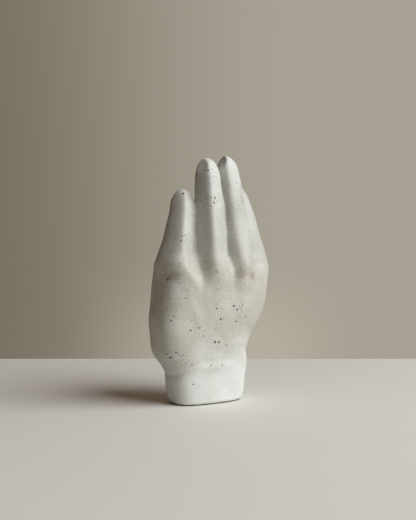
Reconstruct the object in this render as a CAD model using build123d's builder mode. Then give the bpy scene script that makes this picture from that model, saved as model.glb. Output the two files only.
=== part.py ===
"""Hand-built ceramic hand that stands on its wrist, fingers up and closed, as its clay pieces before glazing.

Frame: millimetres, origin at the middle of the foot, +Z up, the back of the hand towards -Y,
the little finger towards -X and the thumb towards +X.
The hollow hand is two pinched shells on a wrist cuff. A slab closes the knuckles, and each hollow finger
stands on it with a spigot in a socket. The thumb is keyed to the palm. Every joint has a bed of luting slip.
"""

import os
from itertools import accumulate
from math import cos, pi, radians, sin, sqrt
from typing import NamedTuple

from build123d import *

# Clay
WALL = 7.0  # cuff and shells
FINGER_WALL = 5.5
FLOOR_THICKNESS = 7.0
KNUCKLE_SLAB_THICKNESS = 7.0
SLIP = 0.4  # fired thickness of a bed of luting slip
SOCKET_CLEARANCE = 0.2  # round a spigot or a key
BED_CLEARANCE = 0.05  # between the curved palm and the thumb's bed

# Outline of the wrist and hand, from the foot up: the rise from the station below,
# and the reach from the upright axis to the little finger's side and to the thumb's side
FOOT_REACH = 34.0
CUFF_RISE = 14.0
CUFF_REACH = 36.4
WRIST_RISE = 16.0
WRIST_REACH = 38.9
HEEL_RISE = 15.0
HEEL_LITTLE_REACH = 48.6
HEEL_THUMB_REACH = 39.4
LOW_PALM_RISE = 15.0
LOW_PALM_LITTLE_REACH = 51.1
LOW_PALM_THUMB_REACH = 44.6
MID_PALM_RISE = 15.0
MID_PALM_LITTLE_REACH = 51.4
MID_PALM_THUMB_REACH = 56.0
HIGH_PALM_RISE = 20.0
HIGH_PALM_LITTLE_REACH = 48.4
HIGH_PALM_THUMB_REACH = 62.8
KNUCKLE_RISE = 27.0
KNUCKLE_LITTLE_REACH = 44.9
KNUCKLE_THUMB_REACH = 62.4

# Thickness of the hand from back to palm, and how far the knuckles arch towards the back
FOOT_DEPTH = 45.0
WRIST_DEPTH = 49.0
PALM_DEPTH = 50.0
KNUCKLE_DEPTH = 43.0
KNUCKLE_ARCH = 18.0
BACK_FLATNESS = 0.61  # share of the arch that the back of the hand doesn't follow
BACK_LIFT = 0.8  # share of that flattening that the back makes up for in thickness

# Powers of the outline's superellipse, where 2 is an ellipse: over the palm,
# and over the back on the little finger's side and on the thumb's side
WRIST_PALM_SQUARENESS = 2.1
WRIST_LITTLE_SQUARENESS = 5.0
WRIST_THUMB_SQUARENESS = 2.8
KNUCKLE_PALM_SQUARENESS = 2.4
KNUCKLE_LITTLE_SQUARENESS = 6.0
KNUCKLE_THUMB_SQUARENESS = 3.2

# The cuff's rim rises towards the thumb
RIM_HEIGHT = 33.0
RIM_TILT = 17.0

# Fingers: middle across the knuckles, as a share of the way from the little finger's side to the thumb's,
# length, lean of the tip across and towards the palm, width and depth at the base, width at the tip
LITTLE_SHARE = 0.117
LITTLE_LENGTH = 66.5
LITTLE_LEAN = 12.8
LITTLE_CURL = 7.2
LITTLE_BASE_WIDTH = 30.0
LITTLE_BASE_DEPTH = 33.0
LITTLE_TIP_WIDTH = 18.4
RING_SHARE = 0.409
RING_LENGTH = 95.0
RING_LEAN = 2.9
RING_CURL = 11.0
RING_BASE_WIDTH = 32.0
RING_BASE_DEPTH = 40.0
RING_TIP_WIDTH = 22.0
MIDDLE_SHARE = 0.661
MIDDLE_LENGTH = 99.6
MIDDLE_LEAN = -3.1
MIDDLE_CURL = 11.0
MIDDLE_BASE_WIDTH = 30.0
MIDDLE_BASE_DEPTH = 39.0
MIDDLE_TIP_WIDTH = 19.0
INDEX_SHARE = 0.898
INDEX_LENGTH = 79.0
INDEX_LEAN = -19.5
INDEX_CURL = 5.9
INDEX_BASE_WIDTH = 29.6
INDEX_BASE_DEPTH = 34.0
INDEX_TIP_WIDTH = 19.6
FINGER_CROWN = 3.0  # how far a finger bows towards the back between knuckle and tip
TIP_DEPTH_RATIO = 1.05  # depth over width, away from the knuckles
TIP_POINT_RATIO = 1.75  # length of the tip's dome over its half width

# Spigot under each finger
SPIGOT_RADIUS = 8.0
SPIGOT_WALL = 3.0

# Thumb, folded along the palm, at the root in the heel of the hand, the ball, the joint and the tip:
# middle across, as a share of the knuckles' reach on its side, middle forward of the upright axis,
# height above the one below, and width
THUMB_ROOT_SHARE = 0.432
THUMB_ROOT_FORWARD = 4.0
THUMB_ROOT_HEIGHT = 44.0
THUMB_ROOT_WIDTH = 16.0
THUMB_BALL_SHARE = 0.633
THUMB_BALL_FORWARD = 14.0
THUMB_BALL_RISE = 30.0
THUMB_BALL_WIDTH = 33.0
THUMB_JOINT_SHARE = 0.649
THUMB_JOINT_FORWARD = 26.5
THUMB_JOINT_RISE = 38.0
THUMB_JOINT_WIDTH = 24.0
THUMB_TIP_SHARE = 0.577
THUMB_TIP_FORWARD = 24.0
THUMB_TIP_RISE = 42.0
THUMB_TIP_WIDTH = 18.0

# Key of the thumb in the palm, bored so that the thick thumb can dry
THUMB_KEY_RADIUS = 6.0
THUMB_KEY_BORE_RADIUS = 2.5
THUMB_KEY_RISE = 12.0  # above the middle of the ball

# Vent, which lets the kiln's hot air out of the hollow hand
VENT_DIAMETER = 8.0
VENT_OFFSET = 14.0

HAND_SPANS = 15  # level bands from foot to knuckles
HALF_OUTLINE_SPANS = 8  # spans of the curve round half a level
FINGER_SPANS = 6  # bands from a finger's base to its dome
DOME_SHARES = (0.35, 0.62, 0.82, 0.94, 0.985)  # sections up the dome of a tip
FAR = 200.0  # well past the hand, for cutting shapes


class Level(NamedTuple):
    """One level outline of the hand."""

    height: float
    little_reach: float
    thumb_reach: float
    depth: float
    arch: float
    palm_squareness: float
    little_squareness: float
    thumb_squareness: float


class Finger(NamedTuple):
    """One finger on the knuckle slab."""

    name: str
    place: float
    length: float
    lean: float
    curl: float
    base_width: float
    base_depth: float
    tip_width: float


def place_at(share):
    """X of a share of the way across the knuckles from the little finger's side."""
    return (KNUCKLE_LITTLE_REACH + KNUCKLE_THUMB_REACH) * share - KNUCKLE_LITTLE_REACH


FINGERS = [
    Finger("little_finger", place_at(LITTLE_SHARE), LITTLE_LENGTH, LITTLE_LEAN, LITTLE_CURL,
           LITTLE_BASE_WIDTH, LITTLE_BASE_DEPTH, LITTLE_TIP_WIDTH),
    Finger("ring_finger", place_at(RING_SHARE), RING_LENGTH, RING_LEAN, RING_CURL,
           RING_BASE_WIDTH, RING_BASE_DEPTH, RING_TIP_WIDTH),
    Finger("middle_finger", place_at(MIDDLE_SHARE), MIDDLE_LENGTH, MIDDLE_LEAN, MIDDLE_CURL,
           MIDDLE_BASE_WIDTH, MIDDLE_BASE_DEPTH, MIDDLE_TIP_WIDTH),
    Finger("index_finger", place_at(INDEX_SHARE), INDEX_LENGTH, INDEX_LEAN, INDEX_CURL,
           INDEX_BASE_WIDTH, INDEX_BASE_DEPTH, INDEX_TIP_WIDTH),
]

# Stations of the hand and of the thumb, from the bottom up
HAND_HEIGHTS = list(accumulate(
    [0, CUFF_RISE, WRIST_RISE, HEEL_RISE, LOW_PALM_RISE, MID_PALM_RISE, HIGH_PALM_RISE, KNUCKLE_RISE]))
LITTLE_REACHES = [FOOT_REACH, CUFF_REACH, WRIST_REACH, HEEL_LITTLE_REACH, LOW_PALM_LITTLE_REACH,
                  MID_PALM_LITTLE_REACH, HIGH_PALM_LITTLE_REACH, KNUCKLE_LITTLE_REACH]
THUMB_REACHES = [FOOT_REACH, CUFF_REACH, WRIST_REACH, HEEL_THUMB_REACH, LOW_PALM_THUMB_REACH,
                 MID_PALM_THUMB_REACH, HIGH_PALM_THUMB_REACH, KNUCKLE_THUMB_REACH]
THUMB_HEIGHTS = list(accumulate([THUMB_ROOT_HEIGHT, THUMB_BALL_RISE, THUMB_JOINT_RISE, THUMB_TIP_RISE]))
THUMB_ACROSS = [KNUCKLE_THUMB_REACH * share
                for share in (THUMB_ROOT_SHARE, THUMB_BALL_SHARE, THUMB_JOINT_SHARE, THUMB_TIP_SHARE)]
THUMB_FORWARD = [THUMB_ROOT_FORWARD, THUMB_BALL_FORWARD, THUMB_JOINT_FORWARD, THUMB_TIP_FORWARD]
THUMB_WIDTHS = [THUMB_ROOT_WIDTH, THUMB_BALL_WIDTH, THUMB_JOINT_WIDTH, THUMB_TIP_WIDTH]

WRIST_HEIGHT = CUFF_RISE + WRIST_RISE
LOW_PALM_HEIGHT = WRIST_HEIGHT + HEEL_RISE + LOW_PALM_RISE
KNUCKLE_HEIGHT = HAND_HEIGHTS[-1]
SLAB_BOTTOM = KNUCKLE_HEIGHT - KNUCKLE_SLAB_THICKNESS
SHELL_TOP = SLAB_BOTTOM - SLIP
FINGER_BASE = KNUCKLE_HEIGHT + SLIP
THUMB_KEY_HEIGHT = THUMB_ROOT_HEIGHT + THUMB_BALL_RISE + THUMB_KEY_RISE


def between(value, start, end, low, high):
    """low at start and high at end, in a straight line."""
    return low + (high - low) * (value - start) / (end - start)


def smooth_through(value, places, amounts):
    """A cubic curve through the amounts at the places, with slopes from neighbour to neighbour."""
    last = len(places) - 1
    slopes = []
    for k in range(last + 1):
        below = max(k - 1, 0)
        above = min(k + 1, last)
        slopes.append((amounts[above] - amounts[below]) / (places[above] - places[below]))
    k = max(k for k in range(last) if k == 0 or places[k] <= value)
    span = places[k + 1] - places[k]
    t = (value - places[k]) / span
    return (
        amounts[k] * (1 - t) ** 2 * (1 + 2 * t)
        + amounts[k + 1] * t ** 2 * (3 - 2 * t)
        + span * slopes[k] * t * (1 - t) ** 2
        - span * slopes[k + 1] * t ** 2 * (1 - t)
    )


def depth_at(height):
    """Thickness of the hand at a height: foot to wrist, wrist to palm, palm to knuckles."""
    if height <= WRIST_HEIGHT:
        return between(height, 0, WRIST_HEIGHT, FOOT_DEPTH, WRIST_DEPTH)
    if height <= LOW_PALM_HEIGHT:
        return between(height, WRIST_HEIGHT, LOW_PALM_HEIGHT, WRIST_DEPTH, PALM_DEPTH)
    return between(height, LOW_PALM_HEIGHT, KNUCKLE_HEIGHT, PALM_DEPTH, KNUCKLE_DEPTH)


def level_at(height):
    """The hand's outline at a height. It arches and gets squarer from the wrist to the knuckles."""
    hand_height = max(height, WRIST_HEIGHT)
    return Level(
        height,
        smooth_through(height, HAND_HEIGHTS, LITTLE_REACHES),
        smooth_through(height, HAND_HEIGHTS, THUMB_REACHES),
        depth_at(height),
        between(hand_height, WRIST_HEIGHT, KNUCKLE_HEIGHT, 0, KNUCKLE_ARCH),
        between(hand_height, WRIST_HEIGHT, KNUCKLE_HEIGHT, WRIST_PALM_SQUARENESS, KNUCKLE_PALM_SQUARENESS),
        between(hand_height, WRIST_HEIGHT, KNUCKLE_HEIGHT, WRIST_LITTLE_SQUARENESS, KNUCKLE_LITTLE_SQUARENESS),
        between(hand_height, WRIST_HEIGHT, KNUCKLE_HEIGHT, WRIST_THUMB_SQUARENESS, KNUCKLE_THUMB_SQUARENESS),
    )


LEVELS = [level_at(KNUCKLE_HEIGHT * step / HAND_SPANS) for step in range(HAND_SPANS + 1)]
KNUCKLES = LEVELS[-1]


def middle_line(level, x):
    """Y of the bent middle line of a level at x: a parabola, towards the back in the middle."""
    half = (level.thumb_reach + level.little_reach) / 2
    centre = (level.thumb_reach - level.little_reach) / 2
    return level.arch * (((x - centre) / half) ** 2 - 2 / 3)


def half_outline(level, inset, side):
    """Points from the thumb's side to the little finger's, over the palm (side 1) or the back (side -1).

    Each half is a superellipse, taken in by inset, whose middle line is bent into the arch.
    The back is flatter than the arch and, to stay about as high, thicker than the palm. It has a fuller
    corner on the little finger's side.
    """
    half = (level.thumb_reach + level.little_reach) / 2 - inset
    centre = (level.thumb_reach - level.little_reach) / 2
    flattening = BACK_FLATNESS * level.arch if side < 0 else 0
    thickness = level.depth / 2 + BACK_LIFT * flattening - inset
    points = []
    for step in range(HALF_OUTLINE_SPANS + 1):
        turn = pi * step / HALF_OUTLINE_SPANS
        by_thumb = step < HALF_OUTLINE_SPANS / 2
        squareness = level.thumb_squareness if by_thumb else level.little_squareness
        power = 2 / (level.palm_squareness if side > 0 else squareness)
        across = abs(cos(turn)) ** power * (1 if by_thumb else -1)
        out = sin(turn) ** power if 0 < step < HALF_OUTLINE_SPANS else 0
        x = centre + half * across
        points.append((x, middle_line(level, x) + flattening * (1 - across ** 2) + side * thickness * out))
    return points


def hand_form(inset):
    """The whole hand from foot to knuckles as one solid, taken in by inset."""
    with BuildPart() as form:
        for level in LEVELS:
            with BuildSketch(Plane.XY.offset(level.height)):
                with BuildLine():
                    Spline(*half_outline(level, inset, 1))
                    Spline(*half_outline(level, inset, -1))
                make_face()
        loft(ruled=True)
    return form.part


def back_half(shift):
    """Everything on the back's side of the bent middle line, moved by shift towards the palm."""
    with BuildPart() as half:
        for level in (LEVELS[0], level_at(WRIST_HEIGHT), KNUCKLES):
            centre = (level.thumb_reach - level.little_reach) / 2
            end = middle_line(level, centre + FAR) + shift
            summit = middle_line(level, centre) + shift
            with BuildSketch(Plane.XY.offset(level.height)):
                with BuildLine():
                    Bezier((centre - FAR, end), (centre, 2 * summit - end), (centre + FAR, end))
                    Polyline(
                        (centre + FAR, end), (centre + FAR, -FAR), (centre - FAR, -FAR), (centre - FAR, end)
                    )
                make_face()
        loft(ruled=True)
    return half.part


def finger_centre(finger, share):
    """Middle of a finger at a share of its length: it leans, curls and bows towards the back."""
    bow = 4 * FINGER_CROWN * share * (1 - share)
    return Vector(
        finger.place + finger.lean * share,
        middle_line(KNUCKLES, finger.place) + finger.curl * share - bow,
        FINGER_BASE + finger.length * share,
    )


def finger_radius(finger, share):
    """Half width of a finger at a share of its length, without the dome of its tip."""
    return between(share, 0, 1, finger.base_width, finger.tip_width) / 2


def finger_half_depth(finger, share):
    """Half depth of a finger at a share of its length. The extra depth at the knuckle soon fades."""
    knuckle = finger.base_depth - finger.base_width * TIP_DEPTH_RATIO
    return finger_radius(finger, share) * TIP_DEPTH_RATIO + knuckle / 2 * (1 - share) ** 3


def dome_start(finger):
    """Share of a finger's length at which the dome of its tip starts."""
    return 1 - TIP_POINT_RATIO * finger.tip_width / 2 / finger.length


def finger_form(finger):
    """A whole finger from the knuckle slab to the tip, a tapered ellipse that ends in a dome."""
    start = dome_start(finger)
    sections = [(start * step / FINGER_SPANS, 0) for step in range(FINGER_SPANS + 1)]
    sections += [(between(dome, 0, 1, start, 1), dome) for dome in DOME_SHARES]
    with BuildPart() as form:
        for share, dome in sections:
            shrink = sqrt(1 - dome ** 2)
            with BuildSketch(Plane(finger_centre(finger, share))):
                Ellipse(finger_radius(finger, share) * shrink, finger_half_depth(finger, share) * shrink)
        loft(ruled=True)
    return form.part


def finger_hollow(finger):
    """The hollow of a finger, a wall in from its outside, its base and its dome."""
    with BuildPart() as form:
        for step in range(FINGER_SPANS + 1):
            share = between(step, 0, FINGER_SPANS, FINGER_WALL / finger.length, dome_start(finger))
            with BuildSketch(Plane(finger_centre(finger, share))):
                Ellipse(
                    finger_radius(finger, share) - FINGER_WALL, finger_half_depth(finger, share) - FINGER_WALL
                )
        loft(ruled=True)
    return form.part


def parting_plane(left, right):
    """Plane where two neighbours were pressed together, midway between their near sides, facing right."""
    contacts = []
    for height in (0, min(left.length, right.length)):
        left_centre = finger_centre(left, height / left.length)
        right_centre = finger_centre(right, height / right.length)
        across = (right_centre - left_centre).normalized()
        left_side = left_centre + across * finger_radius(left, height / left.length)
        right_side = right_centre - across * finger_radius(right, height / right.length)
        contacts.append((left_side + right_side) * 0.5)
    rise = (contacts[1] - contacts[0]).normalized()
    return Plane(contacts[0], x_dir=rise, z_dir=across - rise * across.dot(rise))


def thumb_form():
    """The whole thumb from its root inside the heel of the hand to the dome of its tip."""
    dome_height = TIP_POINT_RATIO * THUMB_TIP_WIDTH / 2
    start = THUMB_HEIGHTS[-1] - dome_height
    spans = 2 * FINGER_SPANS
    sections = [(between(step, 0, spans, THUMB_ROOT_HEIGHT, start), 0) for step in range(spans + 1)]
    sections += [(start + dome_height * dome, dome) for dome in DOME_SHARES]
    with BuildPart() as form:
        for height, dome in sections:
            across = smooth_through(height, THUMB_HEIGHTS, THUMB_ACROSS)
            forward = smooth_through(height, THUMB_HEIGHTS, THUMB_FORWARD)
            radius = smooth_through(height, THUMB_HEIGHTS, THUMB_WIDTHS) / 2 * sqrt(1 - dome ** 2)
            with BuildSketch(Plane((across, forward, height))):
                Circle(radius)
        loft(ruled=True)
    return form.part


def finish(piece, name):
    """Names a finished piece and writes it."""
    piece.part.label = name
    export_step(piece.part, f"parts/{name}.step")


os.makedirs("parts", exist_ok=True)
OUTER = hand_form(0)
INNER = hand_form(WALL)
SLIP_COAT = hand_form(-SLIP)
RIM = Plane((0, 0, RIM_HEIGHT), z_dir=(-sin(radians(RIM_TILT)), 0, cos(radians(RIM_TILT))))
SHELL_RIM = RIM.offset(SLIP)
BACK_SIDE = back_half(-SLIP / 2)
BACK_SIDE_AND_SEAM = back_half(SLIP / 2)
THUMB = thumb_form()

# Key hole of the thumb, level through the palm from the hollow to the middle of the thumb
KEY_ACROSS = smooth_through(THUMB_KEY_HEIGHT, THUMB_HEIGHTS, THUMB_ACROSS)
KEY_END = smooth_through(THUMB_KEY_HEIGHT, THUMB_HEIGHTS, THUMB_FORWARD)
KEY_LENGTH = KEY_END - middle_line(level_at(THUMB_KEY_HEIGHT), KEY_ACROSS)
KEY_PLANE = Plane((KEY_ACROSS, KEY_END, THUMB_KEY_HEIGHT), z_dir=(0, -1, 0))

# The hollow wall from foot to knuckles, before it is parted into its pieces
with BuildPart() as hand_wall:
    add(OUTER)
    add(INNER, mode=Mode.SUBTRACT)

# Wrist cuff, with the foot as its lower rim
with BuildPart() as wrist_cuff:
    add(hand_wall.part)
    split(bisect_by=RIM, keep=Keep.BOTTOM)
finish(wrist_cuff, "wrist_cuff")

# Floor pressed into the foot of the cuff, with the vent through it
with BuildPart() as floor_slab:
    add(INNER)
    split(bisect_by=Plane.XY.offset(FLOOR_THICKNESS), keep=Keep.BOTTOM)
    with Locations((VENT_OFFSET, 0, FLOOR_THICKNESS)):
        Hole(VENT_DIAMETER / 2)
finish(floor_slab, "floor_slab")

# Slip between the cuff's rim and the shells
with BuildPart() as cuff_slip:
    add(hand_wall.part)
    split(bisect_by=RIM, keep=Keep.TOP)
    split(bisect_by=SHELL_RIM, keep=Keep.BOTTOM)
finish(cuff_slip, "cuff_slip")

# The wall between the cuff and the knuckle slab, from which the two shells and their seam are parted
with BuildPart() as shell_wall:
    add(hand_wall.part)
    split(bisect_by=SHELL_RIM, keep=Keep.TOP)
    split(bisect_by=Plane.XY.offset(SHELL_TOP), keep=Keep.BOTTOM)

with BuildPart() as back_shell:
    add(shell_wall.part)
    add(BACK_SIDE, mode=Mode.INTERSECT)
finish(back_shell, "back_shell")

with BuildPart() as palm_shell:
    add(shell_wall.part)
    add(BACK_SIDE_AND_SEAM, mode=Mode.SUBTRACT)
    with BuildSketch(KEY_PLANE):
        Circle(THUMB_KEY_RADIUS + SOCKET_CLEARANCE)
    extrude(amount=KEY_LENGTH, mode=Mode.SUBTRACT)
finish(palm_shell, "palm_shell")

# Slip in the seam between the shells, one strip up each side of the hand
with BuildPart() as seam_strips:
    add(shell_wall.part)
    add(BACK_SIDE_AND_SEAM, mode=Mode.INTERSECT)
    add(BACK_SIDE, mode=Mode.SUBTRACT)
for name, strip in zip(("little_side_slip", "thumb_side_slip"), seam_strips.solids().sort_by(Axis.X)):
    with BuildPart() as side_slip:
        add(strip)
    finish(side_slip, name)

# Slip between the shells and the knuckle slab
with BuildPart() as knuckle_slip:
    add(hand_wall.part)
    split(bisect_by=Plane.XY.offset(SHELL_TOP), keep=Keep.TOP)
    split(bisect_by=Plane.XY.offset(SLAB_BOTTOM), keep=Keep.BOTTOM)
finish(knuckle_slip, "knuckle_slip")

# Slab that closes the knuckles, with a socket for each finger
with BuildPart() as knuckle_slab:
    add(OUTER)
    split(bisect_by=Plane.XY.offset(SLAB_BOTTOM), keep=Keep.TOP)
    with Locations([finger_centre(finger, 0) for finger in FINGERS]):
        Hole(SPIGOT_RADIUS + SOCKET_CLEARANCE)
finish(knuckle_slab, "knuckle_slab")

# Fingers, each parted from its neighbours where they were pressed together, on a bed of slip
PARTINGS = [parting_plane(left, right) for left, right in zip(FINGERS, FINGERS[1:])]
for number, finger in enumerate(FINGERS):
    foot = finger_centre(finger, 0)
    with BuildPart() as parted_finger:
        add(finger_form(finger))
        if number > 0:
            split(bisect_by=PARTINGS[number - 1], keep=Keep.TOP)
        if number < len(PARTINGS):
            split(bisect_by=PARTINGS[number], keep=Keep.BOTTOM)
    base = parted_finger.faces().sort_by(Axis.Z)[0]

    with BuildPart() as finger_slip:
        add(extrude(base, amount=SLIP, dir=(0, 0, -1), mode=Mode.PRIVATE))
        with Locations(foot):
            Hole(SPIGOT_RADIUS + SOCKET_CLEARANCE)
    finish(finger_slip, f"{finger.name}_slip")

    with BuildPart() as hollow_finger:
        add(parted_finger.part)
        add(finger_hollow(finger), mode=Mode.SUBTRACT)
        with BuildSketch(Plane(foot)):
            Circle(SPIGOT_RADIUS)
            Circle(SPIGOT_RADIUS - SPIGOT_WALL, mode=Mode.SUBTRACT)
        extrude(amount=SLAB_BOTTOM - FINGER_BASE)
        with BuildSketch(Plane(foot)):
            Circle(SPIGOT_RADIUS - SPIGOT_WALL)
        extrude(amount=2 * FINGER_WALL, mode=Mode.SUBTRACT)
    finish(hollow_finger, finger.name)

# Thumb with its bored key, and the slip between it and the palm
with BuildPart() as thumb_key:
    with BuildSketch(KEY_PLANE):
        Circle(THUMB_KEY_RADIUS)
    extrude(amount=KEY_LENGTH)
    add(INNER, mode=Mode.SUBTRACT)

with BuildPart() as thumb_slip:
    add(THUMB)
    add(SLIP_COAT, mode=Mode.INTERSECT)
    add(hand_form(-BED_CLEARANCE), mode=Mode.SUBTRACT)
    with BuildSketch(KEY_PLANE):
        Circle(THUMB_KEY_RADIUS + SOCKET_CLEARANCE)
    extrude(amount=KEY_LENGTH, mode=Mode.SUBTRACT)
finish(thumb_slip, "thumb_slip")

with BuildPart() as thumb:
    add(THUMB)
    add(SLIP_COAT, mode=Mode.SUBTRACT)
    add(thumb_key.part)
    with BuildSketch(KEY_PLANE):
        Circle(THUMB_KEY_BORE_RADIUS)
    extrude(amount=KEY_LENGTH, mode=Mode.SUBTRACT)
finish(thumb, "thumb")
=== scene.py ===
# %% [markdown]
# # A standing hand in white glazed stoneware
# The object is a left hand, about life size, that stands on its wrist with the fingers closed. It
# was built from slabs and hollow fingers of clay, joined with slip, smoothed over and glazed, so
# the joints are inside and the skin runs on from piece to piece. The CAD model is the frame: it
# gives every piece its place. This lesson works out the skin with numpy and lays it over that
# frame, piece by piece.

# %% Load the frame
from collections import namedtuple
from functools import reduce

import bpy
import numpy as np
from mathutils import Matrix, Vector


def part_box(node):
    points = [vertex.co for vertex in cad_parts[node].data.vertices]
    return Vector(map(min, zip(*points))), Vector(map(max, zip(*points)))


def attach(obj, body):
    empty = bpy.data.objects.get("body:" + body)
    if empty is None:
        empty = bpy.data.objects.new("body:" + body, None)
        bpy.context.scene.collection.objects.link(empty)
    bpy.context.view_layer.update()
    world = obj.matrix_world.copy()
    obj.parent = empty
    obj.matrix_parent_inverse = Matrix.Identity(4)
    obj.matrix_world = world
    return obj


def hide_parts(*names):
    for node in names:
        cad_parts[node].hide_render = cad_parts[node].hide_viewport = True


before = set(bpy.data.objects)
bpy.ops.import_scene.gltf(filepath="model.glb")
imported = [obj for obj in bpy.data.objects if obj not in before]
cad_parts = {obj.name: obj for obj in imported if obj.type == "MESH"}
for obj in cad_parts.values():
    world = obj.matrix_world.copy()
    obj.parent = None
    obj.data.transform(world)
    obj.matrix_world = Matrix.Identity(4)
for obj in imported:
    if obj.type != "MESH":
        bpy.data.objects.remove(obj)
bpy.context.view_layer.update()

# %% [markdown]
# ## Sizes from the frame
# The shapes below are worked out in millimetres, as a potter would measure them, and turned into
# metres only when a mesh is written. Heights that the CAD already knows are read from its nodes,
# so that the skin can't drift away from the joints inside it.

# %% Sizes
MM = 0.001


def corners(node):
    """Lowest and highest corner of a CAD node, in millimetres."""
    low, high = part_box(node)
    return np.array(low) / MM, np.array(high) / MM


WALL = 7.0
SLIP = corners("little_finger_slip")[1][2] - corners("little_finger_slip")[0][2]
SLAB_UNDERSIDE = corners("knuckle_slab")[0][2]
SLAB_TOP = corners("knuckle_slab")[1][2]
FINGER_FOOT = SLAB_TOP + SLIP
THUMB_TOP = corners("thumb")[1][2]
print(f"knuckle slab from {SLAB_UNDERSIDE:.1f} to {SLAB_TOP:.1f} mm, fingers stand at {FINGER_FOOT:.1f} mm")

# %% [markdown]
# ## Soft joins between forms
# Clay that is smoothed over a joint leaves a small hollow curve there. A bevel on a mesh needs
# clean edges to work on, and these joints have none. A smooth minimum of two distances needs no
# edges: it equals the smaller one, less a little where the two are nearly equal. One number, the
# blend, says how wide the hollow is.

# %% Smooth helpers
TINY, TINIER = 1e-6, 1e-9


def ease(start, end, value):
    """0 before start, 1 after end, and the smooth step 3t^2 - 2t^3 between them."""
    t = np.clip((value - start) / (end - start), 0.0, 1.0)
    return t * t * (3.0 - 2.0 * t)


def join(first, second, blend):
    """Smooth minimum: the smaller distance, less blend/4 * (1 - |difference|/blend)^2 near the joint."""
    near = np.maximum(blend - np.abs(first - second), 0.0) / blend
    return np.minimum(first, second) - near * near * blend / 4.0


def pare(first, second, blend):
    """Smooth maximum: what is left of the first form when the second one trims it."""
    return -join(-first, -second, blend)


def through(value, places, amounts):
    """Cubic curve through the amounts at the places, with slopes taken from each place's neighbours."""
    places, amounts = np.asarray(places, float), np.asarray(amounts, float)
    back = np.r_[0, np.arange(len(places) - 1)]
    ahead = np.r_[np.arange(1, len(places)), len(places) - 1]
    slopes = (amounts[ahead] - amounts[back]) / (places[ahead] - places[back])
    i = np.clip(np.searchsorted(places, value) - 1, 0, len(places) - 2)
    gap = places[i + 1] - places[i]
    t = np.clip((value - places[i]) / gap, 0.0, 1.0)
    rise = t * t * (3.0 - 2.0 * t)
    bend = t * (1.0 - t) ** 2 * slopes[i] - t * t * (1.0 - t) * slopes[i + 1]
    return amounts[i] + (amounts[i + 1] - amounts[i]) * rise + gap * bend


print(f"two forms 1 mm away, joined with a blend of 8 mm: {join(1.0, 1.0, 8.0):.1f} mm away")

# %% [markdown]
# ## The wrist and the hand
# From the foot to the knuckles the hand is one rounded form. It could be sculpted, but a formula
# keeps it in step with the CAD sizes. At each height the section is a superellipse, an ellipse
# with fuller corners, that is bent so that the back is domed and the palm is hollow. The palm is
# the rounder half. The back is flatter, and its fullest corner is on the little finger's side. The
# reach to the two sides follows the outline in the photograph.

# %% The hand's sections
STATION_HEIGHTS = (0, 14, 30, 45, 60, 75, 95, SLAB_TOP)
LITTLE_REACHES = (34, 36.4, 38.9, 48.6, 51.1, 51.4, 48.4, 44.9)
THUMB_REACHES = (34, 36.4, 38.9, 39.4, 44.6, 56, 62.8, 62.4)
DEPTH_HEIGHTS, DEPTHS = (0, 30, 60, SLAB_TOP), (45, 49, 50, 43)
BEND_HEIGHTS, ARCHES = (30, SLAB_TOP), (0, 18)
POWER_HEIGHTS = (30, 54, SLAB_TOP)
PALM_POWERS = (2.1, 2.2, 2.4)
LITTLE_POWERS = (3.6, 4.7, 5.0)
THUMB_POWERS = (2.8, 2.9, 3.2)
BACK_FLATNESS = 0.61
BACK_LIFT = 0.8


def level(z):
    """Middle, half width, half depth and arch of the hand's section at each height."""
    z = np.clip(z, 0.0, SLAB_TOP)
    little = through(z, STATION_HEIGHTS, LITTLE_REACHES)
    thumb = through(z, STATION_HEIGHTS, THUMB_REACHES)
    depth = np.interp(z, DEPTH_HEIGHTS, DEPTHS)
    arch = np.interp(z, BEND_HEIGHTS, ARCHES)
    return (thumb - little) / 2, (thumb + little) / 2, depth / 2, arch


def half_section(z, on_back, by_little):
    """Half depth, arch and power of a section, which differ between the palm and the two ends of the back."""
    _, _, deep, arch = level(z)
    flat = np.where(on_back, BACK_FLATNESS * arch, 0.0)
    all_powers = (PALM_POWERS, LITTLE_POWERS, THUMB_POWERS)
    palm, little, thumb = (np.interp(z, POWER_HEIGHTS, powers) for powers in all_powers)
    power = np.where(on_back, np.where(by_little, little, thumb), palm)
    return deep + BACK_LIFT * flat, arch - flat, power


print(f"hand: {2 * level(0.0)[1]:.1f} mm wide at the foot, {2 * level(SLAB_TOP)[1]:.1f} mm at the knuckles")

# %% [markdown]
# A section tells where the skin is at one height. To join the hand to other forms, the distance
# to it is needed at any point. Dividing a section's formula by its own slope gives that, nearly
# enough close to the skin. A soft crown closes the top, and it is softest on the back, at the web
# beside the little finger.

# %% Distance to the hand
SLOPE_FLOOR = 0.2
CROWN_HEIGHT, CROWN_BLEND = SLAB_TOP + 2.5, 14.0
WEB_PLACE, WEB_WIDTH, WEB_BLEND = -17.0, 9.0, 16.0
WEB_FADES = (2.0, -12.0)


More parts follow.
